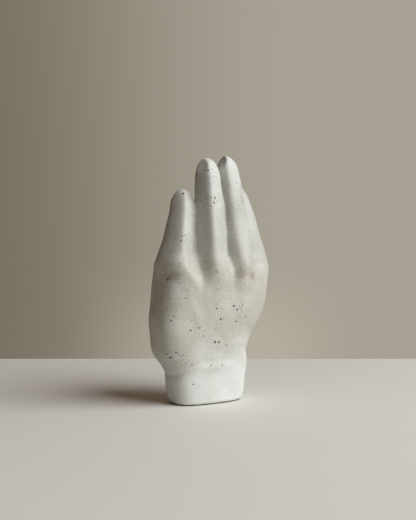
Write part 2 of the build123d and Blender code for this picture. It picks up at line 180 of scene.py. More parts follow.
def hand_distance(p):
    """How far p is outside the hand: (q - 1) over the slope of q, where q^n = |u|^n + |v|^n."""
    x, y, z = np.moveaxis(p, -1, 0)
    middle, half, _, full_arch = level(z)
    u = (x - middle) / half
    fall = 1 - u * u
    on_back = y < full_arch / 3 - full_arch * (1 - BACK_FLATNESS / 2) * fall
    deep, arch, power = half_section(z, on_back, u < 0)
    v = (y - full_arch / 3 + arch * fall) / deep
    q = (np.abs(u) ** power + np.abs(v) ** power + TINIER) ** (1 / power)
    by_u = np.sign(u) * (np.abs(u) / q) ** (power - 1)
    by_v = np.sign(v) * (np.abs(v) / q) ** (power - 1)
    slope = np.hypot(by_u / half - by_v * 2 * arch * u / (half * deep), by_v / deep)
    side = (q - 1) / np.maximum(slope, SLOPE_FLOOR / half)
    web = ease(*WEB_FADES, y) * np.exp(-(((x - WEB_PLACE) / WEB_WIDTH) ** 2))
    return pare(side, z - CROWN_HEIGHT, CROWN_BLEND + WEB_BLEND * web)


middle_of_hand = np.array([[5.0, 0.0, 80.0]])
print(f"the middle of the hand is {-hand_distance(middle_of_hand)[0]:.1f} mm under the skin")

# %% [markdown]
# ## The fingers
# Each finger is a tapering oval column with a domed tip, which leans and curls a little on its way
# up. The maker has pressed two soft flats along it, with a low ridge between them, and pared each
# flat on over the tip with a knife. Boolean cuts would leave every edge hard. Here a flat is a
# plane that trims the column with a soft edge, and a paring is the same plane, tilted, that trims
# the dome with a crisp one. The little finger stands a little forward, towards the back of the hand.

# %% Finger sizes
# place is where a finger stands across the slab. lean and curl are how far its tip moves to the side
# and towards the palm. forward shifts it towards the back. flats are the ways its two flats face, in
# degrees, pressed is how deep they are as a share of the half width, and cut how deep the tip is pared.
Finger = namedtuple(
    "Finger", "place lean curl base_width base_depth tip_width forward flats pressed cut"
)
FINGERS = {
    "little_finger": Finger(-31.7, 11.2, 7.2, 33.4, 36, 17.6, 2.6, (-60, -146), 0.10, 2.4),
    "ring_finger": Finger(-1, 2.9, 11, 31, 38.5, 20.8, 0.0, (-74, -156), 0.08, 3.1),
    "middle_finger": Finger(26, -3.1, 11, 30, 39, 19, 0.0, (-78, -176), 0.07, 2.9),
    "index_finger": Finger(51.5, -19.5, 5.9, 29.6, 34, 19.6, 0.0, (-76, -150), 0.10, 1.6),
}
MEAN_SQUARE = 2.0 / 3.0
FINGER_BOW = 3.0
TIP_DEPTH_RATIO = 1.05
TIP_POINT_RATIO = 1.75
ROOT_TOP, ROOT_DEPTH = FINGER_FOOT - 6.0, 24.0
ROOT_MEETING, ROOT_LEAN, ROOT_SOFTNESS = 12.0, 0.9, 0.1


def finger_middle(finger, share):
    """Middle x, y and the two half widths of a finger, a share of the way from its foot to its tip."""
    middle, half, _, arch = level(SLAB_TOP)
    start = arch * (((finger.place - middle) / half) ** 2 - MEAN_SQUARE) - finger.forward
    up, down = np.maximum(share, 0.0), np.maximum(-share, 0.0)
    inward = ROOT_LEAN * down ** 2 / (down + ROOT_SOFTNESS)
    x = finger.place + finger.lean * up + (ROOT_MEETING - finger.place) * inward
    y = start + finger.curl * up - 4 * FINGER_BOW * up * (1 - up)
    wide = (finger.base_width + (finger.tip_width - finger.base_width) * up) / 2
    spare = (finger.base_depth - TIP_DEPTH_RATIO * finger.base_width) / 2
    return x, y, wide, wide * TIP_DEPTH_RATIO + spare * np.clip(1 - up, 0, 1) ** 3


def finger_sizes(name):
    """A finger's length, the height where its dome starts and the dome's length."""
    length = corners(name)[1][2] - FINGER_FOOT
    dome = FINGERS[name].tip_width / 2 * TIP_POINT_RATIO
    return length, FINGER_FOOT + length - dome, dome


FINGER_SIZES = {name: finger_sizes(name) for name in FINGERS}
print("fingers:", {name: f"{FINGER_SIZES[name][0]:.1f} mm long" for name in FINGERS})

# %% Distance to a finger
RIDGE, RIDGE_SPREAD = 0.03, 0.16
FLAT_SHARE, FLAT_EDGE, FLAT_FADES = 1.04, 4.0, (0.05, 0.4)
PARED_TILT, PARED_EDGE = np.radians(27.0), 0.5


def finger_distance(p, name):
    """How far p is outside a finger: an oval column with a ridge, domed at both ends, trimmed by planes."""
    finger = FINGERS[name]
    length, dome_foot, dome = FINGER_SIZES[name]
    x, y, z = np.moveaxis(p, -1, 0)
    share = np.minimum((z - FINGER_FOOT) / length, 1.0)
    cx, cy, wide, deep = finger_middle(finger, share)
    u, v = (x - cx) / wide, (y - cy) / deep
    flat = np.hypot(u, v) + TINY
    ridge = np.radians(np.mean(finger.flats))
    facing = (u * np.cos(ridge) + v * np.sin(ridge)) / flat
    swell = 1 + RIDGE * np.exp((facing - 1) / RIDGE_SPREAD)
    tip = np.maximum(z - dome_foot, 0) / dome
    root = np.maximum(ROOT_TOP - z, 0) / ROOT_DEPTH
    q = np.sqrt((flat / swell) ** 2 + tip ** 2 + root ** 2)
    across_slope = (u / wide) ** 2 + (v / deep) ** 2
    slope = np.sqrt(across_slope + (tip / dome) ** 2 + (root / ROOT_DEPTH) ** 2) / q
    column = (q - 1) / np.maximum(slope, SLOPE_FLOOR / wide)
    top_x, top_y, *top_size = finger_middle(finger, 1 - dome / length)
    heart, size = np.array([top_x, top_y, dome_foot]), np.array([*top_size, dome])
    flatness = FLAT_SHARE - finger.pressed * ease(*FLAT_FADES, share)
    for angle in np.radians(finger.flats):
        way = np.array([np.cos(angle), np.sin(angle)])
        reach = flatness * np.hypot(wide * way[0], deep * way[1])
        column = pare(column, (x - cx) * way[0] + (y - cy) * way[1] - reach, FLAT_EDGE)
        out = np.r_[way * np.cos(PARED_TILT), np.sin(PARED_TILT)]
        column = pare(column, (p - heart) @ out - np.linalg.norm(out * size) + finger.cut, PARED_EDGE)
    return column


print("flats of each finger, in degrees:", {name: finger.flats for name, finger in FINGERS.items()})

# %% [markdown]
# ## The thumb
# The thumb lies along the palm, on the side away from the camera, as on a relaxed hand. It swells
# over the ball of the thumb and ends beside the index finger. Round sections on a bent line are
# enough for it, because the soft join to the palm does the rest.

# %% Thumb shape
THUMB_HEIGHTS = (44.0, 74.0, 112.0, THUMB_TOP)
THUMB_X, THUMB_Y = (27, 39.5, 40.5, 36), (4, 14, 26.5, 24)
THUMB_WIDTHS = (16, 33, 24, 18)
THUMB_DOME = THUMB_WIDTHS[-1] / 2 * TIP_POINT_RATIO
THUMB_ROOT = 8.0
THUMB_FOOT = THUMB_HEIGHTS[0] + THUMB_ROOT


def thumb_middle(z):
    """Middle x, y and radius of the thumb at each height."""
    line = [through(z, THUMB_HEIGHTS, amounts) for amounts in (THUMB_X, THUMB_Y, THUMB_WIDTHS)]
    return line[0], line[1], line[2] / 2


def thumb_distance(p):
    """How far p is outside the thumb: round sections on a bent line, with a dome at the tip and the root."""
    x, y, z = np.moveaxis(p, -1, 0)
    cx, cy, radius = thumb_middle(z)
    tip = np.maximum(z - (THUMB_TOP - THUMB_DOME), 0) / THUMB_DOME
    root = np.maximum(THUMB_FOOT - z, 0) / THUMB_ROOT
    flat = np.hypot(x - cx, y - cy) / radius
    q = np.sqrt(flat ** 2 + tip ** 2 + root ** 2) + TINY
    slope = np.sqrt((flat / radius) ** 2 + (tip / THUMB_DOME) ** 2 + (root / THUMB_ROOT) ** 2) / q
    return (q - 1) / np.maximum(slope, SLOPE_FLOOR / radius)


print(f"thumb: {max(THUMB_WIDTHS)} mm at its widest, its tip at {THUMB_TOP:.1f} mm")

# %% [markdown]
# ## Relief: what the maker's hands left on the skin
# Knuckles, hollows between them, faint tendons, the crease above the wrist and the uneven surface
# of hand-built clay are all shallow. A bump map could show them, but the mesh and its outline
# would stay plain. So each is a height that is added to the skin: a rounded bump exp(-r^2) about a
# point, a ridge or a groove about a line, or a few slow waves.

# %% Bumps and waves
WAVES, WAVE_SEED = 10, 11
WAVE_LENGTHS = (18.0, 60.0)
WAVE_HEIGHT = 0.18


def bump(p, centre, spread):
    """Rounded bump: exp of minus the squared distance from centre, each axis measured in its own spread."""
    return np.exp(-(((p - np.array(centre)) / np.array(spread)) ** 2).sum(-1))


def waves(p):
    """Unevenness of hand-smoothed clay: a sum of slow sine waves in fixed directions."""
    rng = np.random.default_rng(WAVE_SEED)
    ways = rng.normal(size=(WAVES, 3))
    ways /= np.linalg.norm(ways, axis=1)[:, None]
    lengths = np.geomspace(*WAVE_LENGTHS, WAVES)
    turns = rng.uniform(0, 2 * np.pi, WAVES)
    return sum(
        WAVE_HEIGHT * np.sqrt(length / WAVE_LENGTHS[1]) * np.sin(2 * np.pi * (p @ way) / length + turn)
        for way, length, turn in zip(ways, lengths, turns)
    )


print(f"waves: {WAVES}, from {WAVE_LENGTHS[0]:.0f} to {WAVE_LENGTHS[1]:.0f} mm long")

# %% Knuckles and tendons
BACK_FADES = (-2.0, -14.0)
KNUCKLES = {"little_finger": 0.6, "ring_finger": 1.0, "middle_finger": 1.7, "index_finger": 1.2}
KNUCKLE_HEIGHT, KNUCKLE_SPREAD = 122.0, (8.0, 8.5)
VALLEYS, VALLEY_HEIGHT, VALLEY_SPREAD = (0.7, 1.6, 1.6), 113.0, (5.0, 15.0)
TENDON_RISE, TENDON_WIDTH = 0.45, 4.5
TENDON_MEETING, TENDON_DRAW, TENDON_BEND = 12.0, 0.45, (112.0, 40.0)
TENDON_FOOT, TENDON_TOP = (52.0, 80.0), (112.0, 100.0)


def knuckle_relief(p):
    """Lumps over the knuckles, hollows between them and faint tendons that run down to the wrist."""
    x, y, z = np.moveaxis(p, -1, 0)
    back = ease(*BACK_FADES, y)
    places = [finger.place for finger in FINGERS.values()]
    height = 0.0
    for place, rise in zip(places, KNUCKLES.values()):
        height = height + rise * bump(p[..., ::2], (place, KNUCKLE_HEIGHT), KNUCKLE_SPREAD)
        line = place + (TENDON_MEETING - place) * TENDON_DRAW * ease(*TENDON_BEND, z)
        along = ease(*TENDON_FOOT, z) * ease(*TENDON_TOP, z)
        height = height + TENDON_RISE * along * np.exp(-(((x - line) / TENDON_WIDTH) ** 2))
    for left, right, depth in zip(places, places[1:], VALLEYS):
        height = height - depth * bump(p[..., ::2], ((left + right) / 2, VALLEY_HEIGHT), VALLEY_SPREAD)
    return height * back


print("knuckles stand out by", KNUCKLES, "mm")

# %% Wrist and palm
CREASE_ACROSS, CREASE_HEIGHTS = (-38, -24, -5, 15, 37), (24.5, 35.5, 37.5, 38.5, 45)
CREASE_DEPTH, CREASE_WIDTH = 0.2, 3.0
SIDE_CREASE_DEPTH, SIDE_CREASE_WIDTH = 0.8, 3.4
LITTLE_SIDE, THUMB_SIDE, THUMB_SIDE_SHARE = (28.0, 40.0), (24.0, 38.0), 0.6
ROLL_RISE, ROLL_MIDDLE, ROLL_FADES = 0.8, -5.0, (8.0, 30.0)
ROLL_BELOW, ROLL_WIDTH = 5.5, 4.5
PALM_FADES = (0.0, 9.0)
PALM_FORMS = (
    (-3.0, (2.0, 14.0, 84.0), (17.0, 18.0, 22.0)),
    (2.6, (-27.0, 22.0, 66.0), (13.0, 16.0, 22.0)),
)
PAD_RISE, PAD_HEIGHT, PAD_SPREAD = 1.2, 110.0, (10.0, 7.0)


def wrist_relief(p):
    """The crease over the wrist, deepest at the sides, with a soft roll of clay under it."""
    x, _, z = np.moveaxis(p, -1, 0)
    above = z - through(x, CREASE_ACROSS, CREASE_HEIGHTS)
    side = ease(*LITTLE_SIDE, -x) + THUMB_SIDE_SHARE * ease(*THUMB_SIDE, x)
    crease = CREASE_DEPTH * np.exp(-((above / CREASE_WIDTH) ** 2))
    crease = crease + SIDE_CREASE_DEPTH * side * np.exp(-((above / SIDE_CREASE_WIDTH) ** 2))
    roll = ROLL_RISE * (1 - ease(*ROLL_FADES, np.abs(x - ROLL_MIDDLE)))
    return roll * np.exp(-(((above + ROLL_BELOW) / ROLL_WIDTH) ** 2)) - crease


def palm_relief(p):
    """A hollow in the middle of the palm, the pad on the little finger's side and pads under the fingers."""
    palm = ease(*PALM_FADES, p[..., 1])
    height = sum(rise * bump(p, centre, spread) for rise, centre, spread in PALM_FORMS)
    for finger in FINGERS.values():
        height = height + PAD_RISE * bump(p[..., ::2], (finger.place, PAD_HEIGHT), PAD_SPREAD)
    return height * palm


def relief(p):
    """All of the shallow forms together."""
    return knuckle_relief(p) + wrist_relief(p) + palm_relief(p) + waves(p)


print(f"relief in the hollow of the palm: {relief(np.array([PALM_FORMS[0][1]]))[0]:.1f} mm")

# %% [markdown]
# ## One skin for all the pieces
# `clay` puts everything together: it is negative inside the finished hand, positive outside and
# zero on the skin. A remesh of the joined forms would give one fused lump. Here each piece keeps
# its own simple grid, which is moved onto the skin along the slope of `clay`, a few Newton steps at
# a time. Where a grid runs into a neighbour it is left as it is, out of sight. The slope also gives
# smooth normals, so the light runs over the joints without a break. Neighbouring fingers are joined
# by a wide blend at the slab and a narrower one higher up.

# %% The skin
# One row a gap: the blend at the slab, the blend higher up and the height over which it changes.
FINGER_BLENDS = ((11.0, 4.2, 17.0), (4.5, 2.2, 26.0), (10.0, 3.0, 45.0))
KNUCKLE_BLEND, FREE_BLEND = 7.0, 2.0
KNUCKLE_BLEND_ENDS, KNUCKLE_BLEND_STARTS = SLAB_TOP + 22, SLAB_TOP + 6
THUMB_BLEND = 10.0
FOOT_BLEND = 4.0
STEP = 0.03


def clay(p):
    """Distance to the finished skin: all forms joined softly, less the relief, cut flat at the foot."""
    z = p[..., 2]
    palm = join(hand_distance(p), thumb_distance(p), THUMB_BLEND)
    first, *others = [finger_distance(p, name) for name in FINGERS]
    blends = [low + (high - low) * ease(0.0, reach, z - SLAB_TOP) for low, high, reach in FINGER_BLENDS]
    fingers = reduce(lambda a, b: join(a, *b), zip(others, blends), first)
    near_knuckles = ease(KNUCKLE_BLEND_ENDS, KNUCKLE_BLEND_STARTS, z)
    blend = FREE_BLEND + (KNUCKLE_BLEND - FREE_BLEND) * near_knuckles
    return pare(join(palm, fingers, blend) - relief(p), -z, FOOT_BLEND)


def clay_slope(p):
    """Value and slope of clay at p, from three more points a small step away."""
    value = clay(p)
    return value, np.stack([(clay(p + step) - value) / STEP for step in np.eye(3) * STEP], -1)


print(f"the middle of the hand is {-clay(middle_of_hand)[0]:.1f} mm under the finished skin")

# %% Settle points on the skin
SINK = 1.6
NEWTON_STEPS = 4
LONGEST_STEP = 3.0
LEAST_SLOPE = 0.05


def settle(points, buried):
    """Moves points onto the skin. A point buried in a neighbour by more than SINK stays where it is."""
    skin = points.copy()
    for _ in range(NEWTON_STEPS):
        value, slope = clay_slope(skin)
        size = np.maximum((slope ** 2).sum(-1), LEAST_SLOPE)
        move = np.clip(value / size, -LONGEST_STEP, LONGEST_STEP)
        skin -= move[..., None] * slope
    share = 1 - ease(0.0, SINK, buried)
    settled = points + share[..., None] * (skin - points)
    slope = clay_slope(settled)[1]
    return settled, slope / np.maximum(np.linalg.norm(slope, axis=-1), TINY)[..., None]


print(f"points settle in {NEWTON_STEPS} steps of at most {LONGEST_STEP} mm")

# %% [markdown]
# ## From grids to meshes
# A grid of points becomes a closed mesh in one of three ways: a tube closed by a point at both
# ends, a ring with an outer and an inner wall, or a curved plate with two faces and four edges.
# Adding faces one by one would be slow, so the face lists are made as whole arrays from the grid's
# index numbers.

# %% Faces
NO_TRIANGLES = np.zeros((0, 3), int)


def grid_faces(index, wrap_rows, wrap_columns):
    """Four-sided faces between neighbours in a table of vertex numbers, closed round where asked."""
    rows = np.vstack([index, index[:1]]) if wrap_rows else index
    table = np.hstack([rows, rows[:, :1]]) if wrap_columns else rows
    return np.stack([table[:-1, :-1], table[:-1, 1:], table[1:, 1:], table[1:, :-1]], -1).reshape(-1, 4)


def fan_faces(ring, pole, outward_first):
    """Triangles from a ring of vertices to one point."""
    ahead = np.roll(ring, -1)
    pair = (ring, ahead) if outward_first else (ahead, ring)
    return np.stack([*pair, np.full_like(ring, pole)], -1)


print("a wrapped grid of 3 x 4 points has", len(grid_faces(np.arange(12).reshape(3, 4), True, True)), "faces")

# %% Closed shapes
def closed_tube(points, normals):
    """Rows of rings from bottom to top, with a point at the middle of each end."""
    rows, columns, _ = points.shape
    index = np.arange(rows * columns).reshape(rows, columns)
    ends = np.stack([points[0].mean(0), points[-1].mean(0)])
    verts = np.vstack([points.reshape(-1, 3), ends])
    end_normals = np.stack([normals[0].mean(0), normals[-1].mean(0)])
    facing = np.vstack([normals.reshape(-1, 3), end_normals])
    triangles = np.vstack([
        fan_faces(index[0], rows * columns, False),
        fan_faces(index[-1], rows * columns + 1, True),
    ])
    return verts, facing, grid_faces(index, False, True), triangles


def closed_ring(points, normals, inner):
    """An outer wall from bottom to top and an inner wall back down, closed all the way round."""
    both = np.concatenate([points, inner[::-1]])
    facing = np.concatenate([normals, -normals[::-1]])
    index = np.arange(both.shape[0] * both.shape[1]).reshape(both.shape[:2])
    return both.reshape(-1, 3), facing.reshape(-1, 3), grid_faces(index, True, True), NO_TRIANGLES


def closed_plate(points, normals, inner):
    """A curved plate: its outer face, its inner face turned round, and the four edges between them."""
    rows, columns, _ = points.shape
    outer = np.arange(rows * columns).reshape(rows, columns)
    inside = outer + rows * columns
    rim = np.concatenate([outer[0, :-1], outer[:-1, -1], outer[-1, :0:-1], outer[:0:-1, 0]])
    edge = np.stack([rim, rim + rows * columns], 0)
    faces = np.vstack([
        grid_faces(outer, False, False),
        grid_faces(inside, False, False)[:, ::-1],
        grid_faces(edge, False, True)[:, ::-1],
    ])
    verts = np.concatenate([points.reshape(-1, 3), inner.reshape(-1, 3)])
    facing = np.concatenate([normals.reshape(-1, 3), -normals.reshape(-1, 3)])
    return verts, facing, faces, NO_TRIANGLES


box = closed_tube(np.zeros((2, 4, 3)), np.zeros((2, 4, 3)))
print("a tube of 2 rings of 4 points has", len(box[2]), "four-sided faces and", len(box[3]), "triangles")

# %% Write a piece
pieces = {}


def write_piece(key, name, verts, normals, quads, triangles, stands_for):
    """Writes a mesh in metres, gives it the skin's normals and lets it stand for its CAD nodes."""
    mesh = bpy.data.meshes.new(name)
    corner = np.concatenate([quads.ravel(), triangles.ravel()])
    counts = np.concatenate([np.full(len(quads), 4), np.full(len(triangles), 3)])
    mesh.vertices.add(len(verts))
    mesh.vertices.foreach_set("co", (verts * MM).astype(np.float32).ravel())
    mesh.loops.add(len(corner))
    mesh.loops.foreach_set("vertex_index", corner.astype(np.int32))
    mesh.polygons.add(len(counts))
    mesh.polygons.foreach_set("loop_start", (np.cumsum(counts) - counts).astype(np.int32))
    mesh.update(calc_edges=True)
    mesh.validate()
    mesh.polygons.foreach_set("use_smooth", np.ones(len(mesh.polygons), bool))
    mesh.normals_split_custom_set_from_vertices(normals.tolist())
    piece = bpy.data.objects.new(name, mesh)
    bpy.context.scene.collection.objects.link(piece)
    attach(piece, "root")
    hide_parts(*stands_for)
    pieces[key] = piece
    print(f"{name}: {len(verts)} points, {2 * len(quads) + len(triangles)} triangles")


# %% [markdown]
# ## Wrist cuff
# The foot of the sculpture is a short oval ring of clay. A solid plug would be simpler, but the
# wrist is hollow, so it is a ring with two walls. Its grid starts under the foot, a wall's
# thickness in, turns up the outside and ends at the tilted rim where the hand sits on it.

# %% Sections and neighbours
RIM_HEIGHT, RIM_SLOPE, RIM_STEPS = 33.0, np.tan(np.radians(17.0)), 12


def section(angle, z, inset=0.0):
    """Point on the hand's section at an angle and a height: a superellipse, bent by the arch."""
    middle, half, _, full_arch = level(z)
    deep, arch, power = half_section(z, np.sin(angle) < 0, np.cos(angle) < 0)
    across = np.sign(np.cos(angle)) * np.abs(np.cos(angle)) ** (2 / power)
    off = np.sign(np.sin(angle)) * np.abs(np.sin(angle)) ** (2 / power)
    bow = full_arch / 3 - arch * (1 - across ** 2)
    x, y = middle + (half - inset) * across, bow + (deep - inset) * off
    return np.stack(np.broadcast_arrays(x, y, z), -1)


def rim_height(angle):
    """Height of the tilted rim at each angle, by repeated steps to the plane z = rim + slope * x."""
    z = np.full_like(angle, RIM_HEIGHT)
    for _ in range(RIM_STEPS):
        z = RIM_HEIGHT + RIM_SLOPE * section(angle, z)[..., 0]
    return z


def others_depth(p, *others):
    """How deep p lies in the nearest of the other forms, 0 or less when it is outside them all."""
    return -reduce(np.minimum, [other(p) for other in others])


def finger_fields(skip=None):
    """The distance functions of all the fingers but one."""
    return [lambda p, name=name: finger_distance(p, name) for name in FINGERS if name != skip]


print(f"the foot reaches {section(0.0, 0.0)[0]:.1f} mm to the thumb's side")

# %% Wrist cuff
ROUND, FOOT_ROWS, CUFF_ROWS = 384, 10, 72
LOW_ROWS, FOOT_STEP = FOOT_ROWS + 12, 0.4
turn = np.linspace(0.0, 2 * np.pi, ROUND, endpoint=False)
rim = rim_height(turn)
print(f"rim of the cuff from {rim.min():.1f} to {rim.max():.1f} mm")
foot_inset = np.linspace(WALL, 0.0, FOOT_ROWS, endpoint=False)[:, None]
foot = section(turn[None, :], np.zeros((FOOT_ROWS, ROUND)), foot_inset)
side = section(turn[None, :], np.linspace(0, 1, CUFF_ROWS)[:, None] * rim[None, :])
start = np.concatenate([foot, side])
points, normals = settle(start, others_depth(start, thumb_distance))
inner = points - WALL * normals
inner[:LOW_ROWS, :, 2] = np.maximum(inner[:LOW_ROWS, :, 2], 0.0)
upward_steps = np.linspace(0, FOOT_STEP, FOOT_ROWS)[:, None, None] * np.array([0, 0, 1])
inner[:FOOT_ROWS] = points[:1] + upward_steps
cuff_mesh = closed_ring(points, normals, inner)
write_piece("wrist", "wrist_cuff_glazed", *cuff_mesh, ["wrist_cuff", "cuff_slip"])

# %% [markdown]
# ## Back and palm
# Two curved plates make the hollow hand, one for the back and one for the palm, joined along both
# sides. A Solidify modifier could give them their thickness, but the skin's own normals give a
# wall that fits its neighbours. Their grids share the rim with the cuff and the edge of the knuckle
# slab above.

# %% Back and palm shells
SHELL_ROWS = 170
HALVES = {
    "back": (np.pi, 2 * np.pi, ["back_shell", "little_side_slip"]),
    "palm": (0.0, np.pi, ["palm_shell", "thumb_side_slip"]),
}


def shell(angles):
    """Outer skin of one plate, from the tilted rim up to the underside of the knuckle slab."""
    low = rim_height(angles)[None, :]
    share = np.linspace(0, 1, SHELL_ROWS)[:, None]
    return section(angles[None, :], low + (SLAB_UNDERSIDE - low) * share)


for name, (first, last, nodes) in HALVES.items():
    start = shell(np.linspace(first, last, ROUND // 2 + 1))
    points, normals = settle(start, others_depth(start, thumb_distance, *finger_fields()))
    write_piece(name, f"{name}_of_hand", *closed_plate(points, normals, points - WALL * normals), nodes)

# %% [markdown]
# ## Knuckle slab
# A slab closes the top of the hand and carries the fingers. Only its edge and the webs between
# the fingers show. A flat disc would leave a hard edge there, so its rows go up the edge and then
# in over the top, like the lid of a jar. A hidden lip turns in under the edge, so that the closed
# underside stays inside the hollow palm.

# %% Knuckle slab
SLAB_ROWS, LID_ROWS, SLAB_LIP = 18, 44, 3.0
LID_FOOT, LID_RISE, LID_FULLNESS = SLAB_TOP - 4.0, 6.5, 0.5
edge = section(turn[None, :], np.linspace(SLAB_UNDERSIDE, LID_FOOT, SLAB_ROWS)[:, None])
lift = np.linspace(0, np.pi / 2, LID_ROWS + 2)[1:-1, None]
rim_of_lid = section(turn[None, :], np.full((LID_ROWS, 1), LID_FOOT))
heart = rim_of_lid.mean(1, keepdims=True)
lid = heart + (rim_of_lid - heart) * np.cos(lift)[..., None] ** LID_FULLNESS
lid[..., 2] = LID_FOOT + LID_RISE * np.sin(lift)
start = np.concatenate([edge, lid])
points, normals = settle(start, others_depth(start, thumb_distance, *finger_fields()))
lip = points[:1] - SLAB_LIP * normals[:1]
points, normals = np.concatenate([lip, points]), np.concatenate([normals[:1], normals])
slab_mesh = closed_tube(points, normals)
write_piece("knuckles", "knuckle_slab_glazed", *slab_mesh, ["knuckle_slab", "knuckle_slip"])

# %% [markdown]
# ## Fingers and thumb
# Each is a closed tube of rings, from a rounded root inside the hand to the middle of its tip. A
# stretched sphere would crowd its points at the poles and starve the middle. So the rings are
# evenly spaced up the column and closer together over both ends.

# %% Rings of a tube
TUBE_ROUND, COLUMN_ROWS, DOME_ROWS = 144, 200, 60
ring = np.linspace(0.0, 2 * np.pi, TUBE_ROUND, endpoint=False)[None, :]


def tube_heights(low, root, dome_foot, dome):
    """Heights of the rings and how far each has closed in: evenly up the column, by angle over the ends."""
    lift = np.linspace(0, np.pi / 2, DOME_ROWS + 1)[1:-1]
    column = np.linspace(low, dome_foot, COLUMN_ROWS)
    z = np.r_[low - root * np.sin(lift[::-2]), column, dome_foot + dome * np.sin(lift)]
    return z, np.r_[np.cos(lift[::-2]), np.ones(COLUMN_ROWS), np.cos(lift)]


def tube_grid(z, close, cx, cy, wide, deep):
    """Rings of a tube: the middle, plus the half widths times the cosine and sine of the angle."""
    x = cx[:, None] + (wide * close)[:, None] * np.cos(ring)
    y = cy[:, None] + (deep * close)[:, None] * np.sin(ring)
    return np.stack([x, y, np.broadcast_to(z[:, None], x.shape)], -1)


print(f"tubes have {TUBE_ROUND} points to a ring and {COLUMN_ROWS} rings up the column")

# %% Fingers and thumb
for name, finger in FINGERS.items():
    length, dome_foot, dome = FINGER_SIZES[name]
    z, close = tube_heights(ROOT_TOP, ROOT_DEPTH, dome_foot, dome)
    start = tube_grid(z, close, *finger_middle(finger, (z - FINGER_FOOT) / length))
    points, normals = settle(start, others_depth(start, hand_distance, thumb_distance, *finger_fields(name)))
    write_piece(name, f"{name}_glazed", *closed_tube(points, normals), [name, f"{name}_slip"])

z, close = tube_heights(THUMB_FOOT, THUMB_ROOT, THUMB_TOP - THUMB_DOME, THUMB_DOME)
cx, cy, radius = thumb_middle(z)
start = tube_grid(z, close, cx, cy, radius, radius)
points, normals = settle(start, others_depth(start, hand_distance, *finger_fields()))
write_piece("thumb", "thumb_glazed", *closed_tube(points, normals), ["thumb", "thumb_slip"])

# %% [markdown]
# ## Writing shaders as sums
# Materials are easier to read as arithmetic than as a plan of wires. `Wire` holds one socket;
# adding, subtracting or multiplying wires adds the Math nodes. Every other node is made by `make`.


# %% Shader helper
class Wire:
    """One output socket. Arithmetic on it adds Math nodes to its node tree."""

    def __init__(self, tree, socket):
        self.tree, self.socket = tree, socket

    @staticmethod
    def make(tree, kind, settings, inputs, output=0):
        """Adds a node, sets its settings, then its inputs from values or wires, and returns one output."""
        node = tree.nodes.new(kind)
        for key, value in settings.items():
            setattr(node, key, value)
        for key, value in inputs.items():
            if isinstance(value, Wire):
                tree.links.new(value.socket, node.inputs[key])
            else:
                node.inputs[key].default_value = value
        return Wire(tree, node.outputs[output]) if node.outputs else None

    def math(self, operation, first, second):
        return Wire.make(self.tree, "ShaderNodeMath", {"operation": operation}, {0: first, 1: second})

    def __add__(self, other):
        return self.math("ADD", self, other)

    def __radd__(self, other):
        return self.math("ADD", other, self)

    def __sub__(self, other):
        return self.math("SUBTRACT", self, other)

    def __rsub__(self, other):
        return self.math("SUBTRACT", other, self)

    def __mul__(self, other):
        return self.math("MULTIPLY", self, other)

    def __rmul__(self, other):
        return self.math("MULTIPLY", other, self)

    def below(self, limit):
        return self.math("LESS_THAN", self, limit)

    def ramp(self, low, high, to_low=0.0, to_high=1.0):
        """The value carried from the range low to high onto another range, with soft ends."""
        settings = {"interpolation_type": "SMOOTHSTEP", "clamp": True}
        values = {"Value": self, "From Min": low, "From Max": high, "To Min": to_low, "To Max": to_high}
        return Wire.make(self.tree, "ShaderNodeMapRange", settings, values)

    def feed(self, shader, name):
        """Links this wire to a named input of a shader."""
        self.tree.links.new(self.socket, shader.inputs[name])


# %% Colours and textures
MIX_FIRST, MIX_SECOND, MIX_RESULT = 6, 7, 2
VECTOR_MATH = "ShaderNodeVectorMath"


def mix_colour(tree, share, first, second):
    """A mix of two colours by a share from 0 to 1."""
    settings = {"data_type": "RGBA", "blend_type": "MIX", "clamp_factor": True}
    values = {"Factor": share, MIX_FIRST: first, MIX_SECOND: second}
    return Wire.make(tree, "ShaderNodeMix", settings, values, MIX_RESULT)


def rgb(red, green, blue):
    """A colour as a paint chart gives it, 0 to 255 in screen values, turned into linear light."""
    screen = np.array([red, green, blue]) / 255
    linear = np.where(screen <= 0.04045, screen / 12.92, ((screen + 0.055) / 1.055) ** 2.4)
    return (*linear.tolist(), 1.0)


def noise(tree, place, scale, detail, roughness=0.5, output=0):
    """Soft three-dimensional noise, about 0.5 on average."""
    values = {"Vector": place, "Scale": scale, "Detail": detail, "Roughness": roughness}
    return Wire.make(tree, "ShaderNodeTexNoise", {}, values, output)


def new_material(name):
    """An empty material with a Principled shader, and its object coordinates."""
    material = bpy.data.materials.new(name)
    material.use_nodes = True
    tree = material.node_tree
    place = Wire.make(tree, "ShaderNodeTexCoord", {}, {}, "Object")
    return material, tree, tree.nodes["Principled BSDF"], place


print("mid grey, 128 on the chart, is", round(rgb(128, 128, 128)[0], 3), "in linear light")
